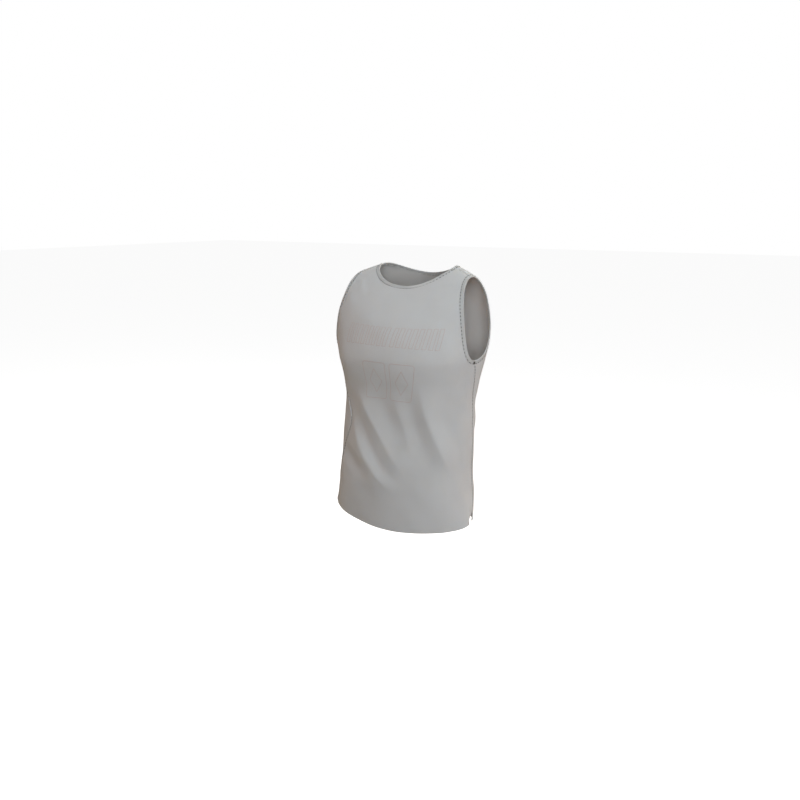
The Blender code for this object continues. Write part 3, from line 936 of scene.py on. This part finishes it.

# %% [markdown]
# ## Thread
#
# Each stitch of a lockstitch row is a short length of thread that comes up through one needle hole, lies on
# the cloth and dives into the next. Texture lines never catch the light that way, so each stitch is a small
# bent capsule, and a whole row of them is joined into one mesh. The outside thread is a darker grey than the
# knit, partly its own colour and partly painted shade for its needle holes and the ditch that it lies in. The
# bobbin thread on the inside is lighter. Both the stitches and their thread are drawn three times as long
# and as thick as real ones, so that they show.

# %% Thread material
THREAD_TWIST_MM = 3.77        # from one turn of the ply to the next. The real 0.6 mm is too fine to show.
WAVE_LENGTH = 2 * math.pi / 20        # of the wave texture, at a scale of 1


def spun_thread(name, light, dark):
    """Spun polyester sewing thread: two plies twisted together, hard and slightly glossy."""
    material, tree, shader = new_material(name)
    metres = add_node(tree, "TexCoord").outputs["Object"]
    turned = add_node(tree, "Mapping", {"Vector": metres, "Rotation": (0.6, 0.6, 0.6)})
    scale = 1000 * WAVE_LENGTH / THREAD_TWIST_MM
    wave = add_node(tree, "TexWave", {"Vector": turned, "Scale": scale, "Distortion": 1.5, "Detail": 1.0})
    ply = wave.outputs["Fac"]
    # painted shade: the thread is drawn darker in the grooves between its plies
    colour = add_node(tree, "Mix", {0: ply, 6: linear(dark), 7: linear(light)}, data_type="RGBA")
    fill(tree, shader, {
        "Base Color": colour.outputs[2],
        "Roughness": 0.55,
        "Normal": add_node(tree, "Bump", {"Strength": 0.6, "Distance": 0.0001, "Height": ply}),
        "IOR": POLYESTER_IOR,
    })
    return material


# painted shade: the needle thread is drawn far darker than the knit, partly for the shade of its needle holes
# and ditch
NEEDLE_THREAD_WITH_PAINTED_SHADE = spun_thread("needle_thread_with_painted_shade", "#4a4643", "#34312e")
BOBBIN_THREAD = spun_thread("light_bobbin_thread", "#d8d8d6", "#a9a8a6")
print("threads:", NEEDLE_THREAD_WITH_PAINTED_SHADE.name, BOBBIN_THREAD.name)

# %% Stitches
THREAD_RADIUS = 0.00085
THREAD_SIDES = 6
STITCH_ARCH = 0.00030         # how far the middle of a stitch stands above its ends
# share along the stitch, and share of the thread's radius
STITCH_RINGS = [(0.00, 0.45), (0.10, 0.90), (0.35, 1.00), (0.65, 1.00), (0.90, 0.90), (1.00, 0.45)]


def stitch_row(name, starts, ends, out, material, slot):
    """One mesh with a bent capsule of thread from each start to its end."""
    run = ends - starts
    across = unit(np.cross(out, run))
    rise = unit(np.cross(run, across))
    rings = []
    for share, thickness in STITCH_RINGS:
        centre = starts + run * share + out * STITCH_ARCH * 4 * share * (1 - share)
        for turn in 2 * math.pi * np.arange(THREAD_SIDES) / THREAD_SIDES:
            around = across * math.cos(turn) + rise * math.sin(turn)
            rings.append(centre + THREAD_RADIUS * thickness * around)
    points = np.stack(rings, axis=1).reshape(-1, 3)
    one = np.arange(len(STITCH_RINGS) * THREAD_SIDES).reshape(len(STITCH_RINGS), THREAD_SIDES)
    after = np.roll(one, -1, axis=1)
    sides = np.stack([one[:-1], one[1:], after[1:], after[:-1]], axis=-1).reshape(-1, 4)
    faces = []
    for first in range(0, len(points), one.size):
        for face in (*sides, one[0], one[-1, ::-1]):
            faces.append((face + first).tolist())
    piece = mesh_object(name, points.tolist(), faces, material)
    piece.data.shade_smooth()
    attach(piece, "root")
    return piece


def edge_stitches(name, edge, distance, lift, material):
    """A row of stitches along a bound edge: outside the cloth, or inside it where the lift is below 0."""
    points, out = over_edge(edge, distance, lift)
    starts = points[1::STATIONS_PER_STITCH]
    ends = points[STITCH_STATIONS::STATIONS_PER_STITCH]
    away = np.sign(lift) * out[1::STATIONS_PER_STITCH]
    return stitch_row(name, starts, ends, away, material, "binding_knit")


STITCH_LINE = STITCH_SHARE * BINDING_WIDTH
TOPSTITCH_LIFT = 0.00055
BOBBIN_LIFT = -0.00235
BOBBIN_SHIFT = 0.0012         # the bobbin row lies this much nearer to the edge

for name, edge in EDGES.items():
    rows = [
        edge_stitches(name + "_topstitch", edge, STITCH_LINE, TOPSTITCH_LIFT, NEEDLE_THREAD_WITH_PAINTED_SHADE),
        edge_stitches(name + "_bobbin_row", edge, STITCH_LINE - BOBBIN_SHIFT, BOBBIN_LIFT, BOBBIN_THREAD),
    ]
    print([piece.name for piece in rows])

# %% [markdown]
# ## Seams from the inside
#
# Where front and back meet, their edges are turned in together and overlocked. That strip of double cloth
# shows inside the neck, the armholes and the hem, and it closes the seam to the light. It is a flat tube with
# a short section table, and its ends are pinched shut.

# %% Seam allowances
ALLOWANCE_STEPS = 150
# how far from the seam towards the back and how far out from the cloth, in mm
ALLOWANCE_SECTION = [
    (-2.6, -1.10), (0.0, -1.05), (3.0, -1.15), (6.0, -1.20), (7.6, -1.35), (8.0, -1.80), (7.6, -2.30),
    (6.0, -2.55), (3.0, -2.60), (1.0, -2.40), (-0.6, -1.90), (-2.6, -1.35),
]
PINCH_SHARE = 1 / 40          # of the strip's length, over which each end gets thin
STRIP_BELOW_VENT = 0.004      # the strip starts this far below the top of the vent
STRIP_TO_ARMPIT = 0.006       # and ends this far below the armhole
NECK_CLEAR = 2.2              # degrees that a shoulder strip keeps from the neckline
ARMHOLE_CLEAR = 1.6           # and from the armhole
OVERLOCK_PITCH = 0.0034
OVERLOCK_RUN = (0.02, 0.98)   # share of the strip over which the thread runs
# both ends of an overlock stitch: mm towards the back, mm out from the cloth, and pitches along the seam
OVERLOCK_ENDS = [(2.2, -2.62, 0.0), (7.8, -2.05, 0.4)]


def towards_back(angle, level):
    """The way over the cloth from a seam towards the back, at each of its stations."""
    run = unit(np.gradient(cloth_between(angle, level), axis=0))
    across = unit(np.cross(normals(cloth_between, angle, level), run))
    return across * np.sign(across[:, 1:2])


def beside_seam(angle, level, beside, lift):
    """Points so many mm behind a seam and so many mm off the cloth, and the way out there."""
    place = step_on_cloth(angle, level, towards_back(angle, level), beside / 1000)
    return off_cloth(*place, lift / 1000), normals(cloth_between, *place)


def make_allowance(name, angle, level):
    """The overlocked strip behind a seam, and the threads over its edge."""
    share = np.linspace(0, 1, len(angle))
    plump = np.minimum(1.0, np.minimum(share, 1 - share) / PINCH_SHARE)
    middle = np.mean([out for _, out in ALLOWANCE_SECTION])
    rows = [beside_seam(angle, level, beside, middle + (out - middle) * plump)[0]
            for beside, out in ALLOWANCE_SECTION]
    along = np.cumsum(np.append(0, np.linalg.norm(np.diff(rows[0], axis=0), axis=1)))
    places = [np.stack([np.full(len(along), beside / 1000), along], axis=-1)
              for beside, _ in ALLOWANCE_SECTION]
    ends = ((share == 0) | (share == 1))[:, None]
    pinched = [np.where(ends, 0.5 * (row + facing), row) for row, facing in zip(rows, rows[::-1])]
    # the section runs round each station, so its columns are closed
    grid = Grid(np.stack(pinched, axis=1), np.stack(places, axis=1), False, True)
    piece = grid_object(name, [grid], BODY_KNIT)
    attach(piece, "root")
    count = int(along[-1] / OVERLOCK_PITCH)
    stops = np.linspace(*OVERLOCK_RUN, count)
    threads = []
    for beside, out, shift in OVERLOCK_ENDS:
        row, _ = beside_seam(angle, level, beside, out)
        threads.append(np.stack([np.interp(stops + shift / count, share, line) for line in row.T], axis=-1))
    inward = -normals(cloth_between, np.interp(stops, share, angle), np.interp(stops, share, level))
    overlock = stitch_row(name + "_overlock", *threads, inward, BOBBIN_THREAD, "body_knit")
    return [piece, overlock]


SEAM_PIECES = []
for side, name in ((1, "left"), (-1, "right")):
    level = np.linspace(VENT_HEIGHT - STRIP_BELOW_VENT, ARMPIT_LEVEL - STRIP_TO_ARMPIT, ALLOWANCE_STEPS)
    SEAM_PIECES += make_allowance("side_seam_" + name, seam_angle(side, level), level)
    angle = side * np.linspace(NECK_ANGLE + NECK_CLEAR, SHOULDER_ANGLE - ARMHOLE_CLEAR, ALLOWANCE_STEPS // 3)
    SEAM_PIECES += make_allowance("shoulder_seam_" + name, angle, np.full(angle.shape, SHOULDER_LEVEL))
print([piece.name for piece in SEAM_PIECES])

# %% [markdown]
# ## Stitching that shows along the side seams, and the bar tacks
#
# A jersey is pulled hard at its sides. The seams are stitched down once more from the outside, and where a
# side seam ends under the arm, a short dense bar of stitches over the binding stops it from tearing. Both are
# made with the stitch function above, from places that are worked out along the seam.

# %% Side stitching and bar tacks
SEAM_STITCH_MM = (1.6, -0.05)         # behind the seam, and off the cloth
SEAM_STITCH_SHARE = 0.8 * STITCH_STATIONS / STATIONS_PER_STITCH       # of the pitch that shows
SEAM_STITCH_FOOT = VENT_HEIGHT + 0.003
SEAM_STITCH_TOP = ARMPIT_LEVEL - 0.012
BAR_TACK_STITCHES = 7
BAR_TACK_SPACING = 0.0007
BAR_TACK_ENDS = [(0.20, 0.00125), (0.98, 0.00085)]    # share of the binding's width, and metres of lift


def seam_stitches(name, side):
    """A row of stitches beside a side seam, on the back panel."""
    length = SEAM_STITCH_TOP - SEAM_STITCH_FOOT
    count = int(length / STITCH_PITCH)
    low = SEAM_STITCH_FOOT + length * np.arange(count) / count
    ends = []
    for level in (low, low + STITCH_PITCH * SEAM_STITCH_SHARE):
        points, out = beside_seam(seam_angle(side, level), level, *SEAM_STITCH_MM)
        ends.append(points)
    return stitch_row(name, *ends, out, NEEDLE_THREAD_WITH_PAINTED_SHADE, "body_knit")


def bar_tack(name, edge):
    """A short bar of close stitches over the binding, where the side seam meets it."""
    foot = int(np.argmin(edge.level))
    shifts = (np.arange(BAR_TACK_STITCHES) - (BAR_TACK_STITCHES - 1) / 2) * BAR_TACK_SPACING
    ends = []
    for share, lift in BAR_TACK_ENDS:
        points, out = over_edge(edge, share * BINDING_WIDTH, lift)
        run = unit(np.roll(points, -1, axis=0) - np.roll(points, 1, axis=0))[foot]
        ends.append(points[foot] + shifts[:, None] * run)
    outs = np.repeat(out[foot][None], BAR_TACK_STITCHES, axis=0)
    return stitch_row(name, *ends, outs, NEEDLE_THREAD_WITH_PAINTED_SHADE, "binding_knit")


for side, name in ((1, "left"), (-1, "right")):
    SEAM_PIECES.append(seam_stitches("side_seam_" + name + "_stitches", side))
    tack = bar_tack("bar_tack_" + name, EDGES["armhole_binding_" + name])
    print(SEAM_PIECES[-1].name, "and", tack.name)

# %% [markdown]
# ## Plain print on the chest
#
# Such a jersey has room for lettering across the chest and for a large number below. This one is a blank:
# only plain slanted bars and two panels with a diamond are printed there, as thin outlines. Screen-printed
# ink lies on the knit as a rubbery film, so each outline is a real ribbon, raised by a fraction of a
# millimetre, and it bends with the cloth. Corners are offset by half the width to both sides, which keeps the
# line's width even.

# %% Print material
PLASTISOL_IOR = 1.5


def screen_print(name, colour, dark):
    """Plastisol ink: a smooth, slightly rubbery film, a little uneven where the knit shows through."""
    material, tree, shader = new_material(name)
    metres = add_node(tree, "TexCoord").outputs["Object"]
    patchy = add_node(tree, "TexNoise", {"Vector": metres, "Scale": 700.0, "Detail": 2.0})
    colours = {0: patchy, 6: linear(colour), 7: linear(dark)}
    fill(tree, shader, {
        "Base Color": add_node(tree, "Mix", colours, data_type="RGBA").outputs[2],
        "Roughness": add_node(tree, "MapRange", {0: patchy, 3: 0.50, 4: 0.72}),
        "Normal": add_node(tree, "Bump", {"Strength": 0.3, "Distance": 0.0001, "Height": patchy}),
        "IOR": PLASTISOL_IOR,
    })
    return material


PRINT_INK = screen_print("pale_red_plastisol_ink", "#c0b2af", "#ae9f9c")
print("ink:", PRINT_INK.name)

# %% Print outlines
PRINT_WIDTH = 0.0013
PRINT_STEP = 0.0025
BAR_GROUPS = (-0.1060, 0.0190)        # middles of the first bars, on the flat cloth
BARS_IN_GROUP = 8
BAR_WIDTH = 0.0088
BAR_HEIGHT = 0.060
BAR_PITCH = 0.0151
BAR_LEVEL = 0.493
BAR_SLANT = 0.16
PANEL_MIDDLES = (-0.0400, 0.0340)
PANEL_WIDTH = 0.0620
PANEL_HEIGHT = 0.102
PANEL_LEVEL = 0.349
PANEL_SLANT = 0.12
PANEL_CHAMFER = 0.004
DIAMOND_HALVES = (0.018, 0.034)       # half its width and half its height
# half widths across the line, and mm out from the cloth
PRINT_SECTION = [(-1.0, -0.12), (-0.9, 0.17), (0.9, 0.17), (1.0, -0.12)]


def block(middle, low, width, height, slant=0.0, chamfer=0.0):
    """Corners of a block on the flat cloth, anticlockwise. Slant leans it, chamfer cuts its corners."""
    half = width / 2
    corners = []
    for across, up, turn in ((-1, 0, 0), (1, 0, 1), (1, 1, 0), (-1, 1, 1)):
        inset = [(chamfer, 0.0), (0.0, chamfer)]
        if turn == 0:
            inset.reverse()
        for dx, dy in (inset if chamfer else [(0.0, 0.0)]):
            y = up * height + (dy if up == 0 else -dy)
            corners.append((middle + across * (half - dx) + slant * y, low + y))
    return np.array(corners)


def offset_corners(corners, distance):
    """The corners moved outwards, so that each side moves by the distance."""
    before = unit(corners - np.roll(corners, 1, axis=0))
    after = np.roll(before, -1, axis=0)
    normal_before = np.stack([before[:, 1], -before[:, 0]], axis=-1)
    normal_after = np.stack([after[:, 1], -after[:, 0]], axis=-1)
    mitre = normal_before + normal_after
    return corners + distance * mitre / np.sum(mitre * normal_after, axis=-1, keepdims=True)


def ribbon_grid(corners):
    """A printed line round some corners, as a thin closed ribbon on the cloth."""
    lengths = np.linalg.norm(np.roll(corners, -1, axis=0) - corners, axis=1)
    steps = np.maximum(1, np.ceil(lengths / PRINT_STEP).astype(int))
    rows, places = [], []
    for across, millimetres in PRINT_SECTION:
        moved = offset_corners(corners, across * PRINT_WIDTH / 2)
        ends = np.roll(moved, -1, axis=0)
        line = np.concatenate([start + (end - start) * (np.arange(count) / count)[:, None]
                               for start, end, count in zip(moved, ends, steps)])
        rows.append(off_cloth(np.degrees(line[:, 0] / GIRTH_RADIUS), line[:, 1], millimetres / 1000))
        places.append(line)
    return Grid(np.stack(rows, axis=1), np.stack(places, axis=1), True, True)


def chest_bars():
    """Two groups of slanted bars, across the chest."""
    return [block(start + BAR_PITCH * number, BAR_LEVEL, BAR_WIDTH, BAR_HEIGHT, slant=BAR_SLANT)
            for start in BAR_GROUPS for number in range(BARS_IN_GROUP)]


def number_panels():
    """Two tall panels with cut corners and a diamond in each, leaning like the bars."""
    shapes = []
    for middle in PANEL_MIDDLES:
        shapes.append(block(middle, PANEL_LEVEL, PANEL_WIDTH, PANEL_HEIGHT, slant=PANEL_SLANT,
                            chamfer=PANEL_CHAMFER))
        tips = np.array([(0, -1), (1, 0), (0, 1), (-1, 0)]) * DIAMOND_HALVES + (0, PANEL_HEIGHT / 2)
        tips[:, 0] += PANEL_SLANT * tips[:, 1]
        shapes.append(tips + (middle, PANEL_LEVEL))
    return shapes


def make_print(name, shapes):
    """All the outlines of one print, as one mesh."""
    piece = grid_object(name, [ribbon_grid(corners) for corners in shapes], PRINT_INK)
    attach(piece, "root")
    return piece


PRINTS = [make_print("chest_bar_print", chest_bars()), make_print("number_panel_print", number_panels())]
print([(piece.name, triangle_count(piece)) for piece in PRINTS])
